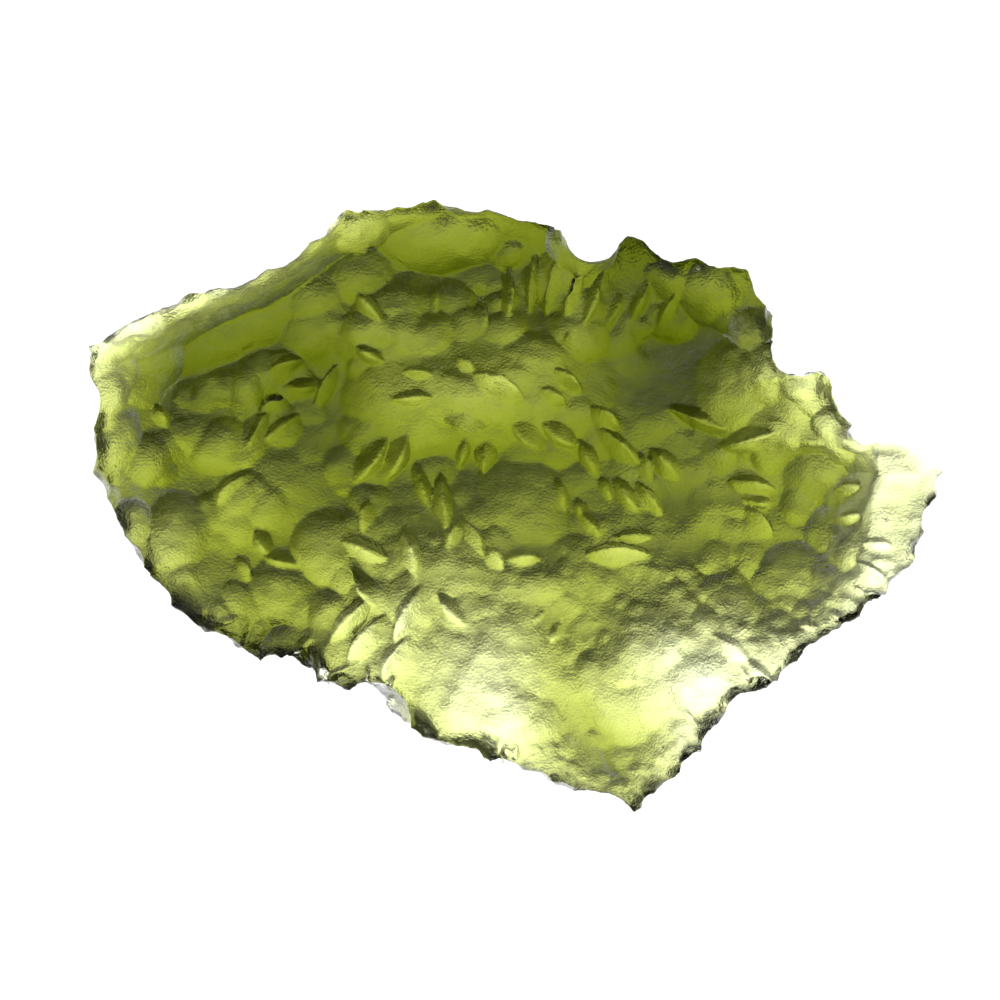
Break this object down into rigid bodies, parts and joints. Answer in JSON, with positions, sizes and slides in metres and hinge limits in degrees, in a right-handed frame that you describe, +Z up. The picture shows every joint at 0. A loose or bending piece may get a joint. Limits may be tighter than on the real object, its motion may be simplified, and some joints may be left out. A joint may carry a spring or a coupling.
{
  "type": "moldavite",
  "caption": "Irregular shard of clear bottle-green natural glass, cupped above and gently rounded below, with thin sharp edges and a deeply pitted, scalloped skin.",
  "frame": {"origin": "on the ground under the middle of the shard's box, with the shard lying as it rests", "axes": "+X along the longest side, towards the thin clear tip; +Y across the shard, towards its raised side; +Z up, the thin way"},
  "size_m": [0.034, 0.0242, 0.009],
  "materials": {
    "moldavite_glass": "clear bottle-green glass with a bright, slightly etched skin"
  },
  "bodies": {
    "root": {"moldavite": "moldavite_glass"}
  },
  "joints": []
}
